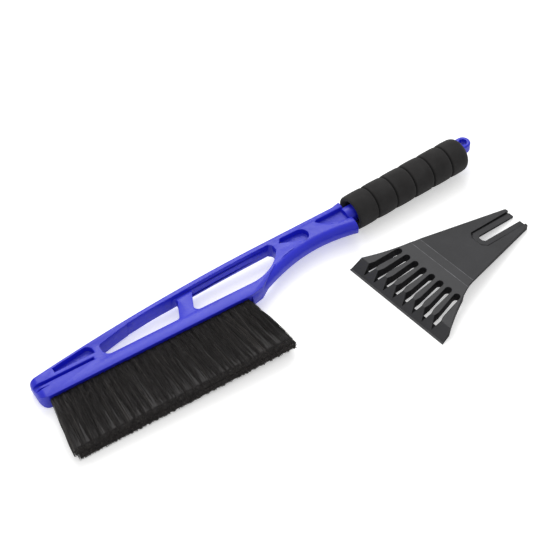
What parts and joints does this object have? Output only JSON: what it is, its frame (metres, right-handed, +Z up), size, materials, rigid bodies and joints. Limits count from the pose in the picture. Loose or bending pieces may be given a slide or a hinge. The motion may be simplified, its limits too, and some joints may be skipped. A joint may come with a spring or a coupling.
{
  "type": "windshield ice scraper",
  "caption": "Snow brush with a windowed moulded handle, bristle rows, a ribbed foam grip and a hang loop, with a loose ribbed ice-scraper head that pushes onto its tip.",
  "frame": {"origin": "centre of the floor area that the set covers, on the floor", "axes": "+X along the bristle rail from the brush's tip to its grip, +Y from the bristles towards the brush's back edge, +Z up"},
  "size_m": [0.4818, 0.184, 0.0374],
  "materials": {
    "blue_moulding": "satin",
    "grip_foam": "matt foam",
    "scraper_plastic": "fine matt",
    "bristle": "fine strands",
    "anchor_wire": "cut strip"
  },
  "bodies": {
    "brush": {"handle_frame": "blue_moulding", "foam_grip": "grip_foam", "tuft_upper_01": "bristle", "tuft_upper_02": "bristle", "tuft_upper_03": "bristle", "tuft_upper_04": "bristle", "tuft_upper_05": "bristle", "tuft_upper_06": "bristle", "tuft_upper_07": "bristle", "tuft_upper_08": "bristle", "tuft_upper_09": "bristle", "tuft_upper_10": "bristle", "tuft_upper_11": "bristle", "tuft_upper_12": "bristle", "tuft_upper_13": "bristle", "tuft_upper_14": "bristle", "tuft_upper_15": "bristle", "tuft_upper_16": "bristle", "tuft_upper_17": "bristle", "tuft_upper_18": "bristle", "tuft_upper_19": "bristle", "tuft_upper_20": "bristle", "tuft_upper_21": "bristle", "tuft_upper_22": "bristle", "tuft_upper_23": "bristle", "tuft_upper_24": "bristle", "tuft_upper_25": "bristle", "tuft_upper_26": "bristle", "tuft_anchors_upper": "anchor_wire", "tuft_lower_01": "bristle", "tuft_lower_02": "bristle", "tuft_lower_03": "bristle", "tuft_lower_04": "bristle", "tuft_lower_05": "bristle", "tuft_lower_06": "bristle", "tuft_lower_07": "bristle", "tuft_lower_08": "bristle", "tuft_lower_09": "bristle", "tuft_lower_10": "bristle", "tuft_lower_11": "bristle", "tuft_lower_12": "bristle", "tuft_lower_13": "bristle", "tuft_lower_14": "bristle", "tuft_lower_15": "bristle", "tuft_lower_16": "bristle", "tuft_lower_17": "bristle", "tuft_lower_18": "bristle", "tuft_lower_19": "bristle", "tuft_lower_20": "bristle", "tuft_lower_21": "bristle", "tuft_lower_22": "bristle", "tuft_lower_23": "bristle", "tuft_lower_24": "bristle", "tuft_lower_25": "bristle", "tuft_lower_26": "bristle", "tuft_anchors_lower": "anchor_wire"},
    "scraper": {"scraper_head": "scraper_plastic"}
  },
  "joints": [
    {"name": "head_lift", "type": "slide", "parent": "brush", "child": "scraper", "axis": [0, 0, 1], "range_m": [0, 0.15]}
  ]
}
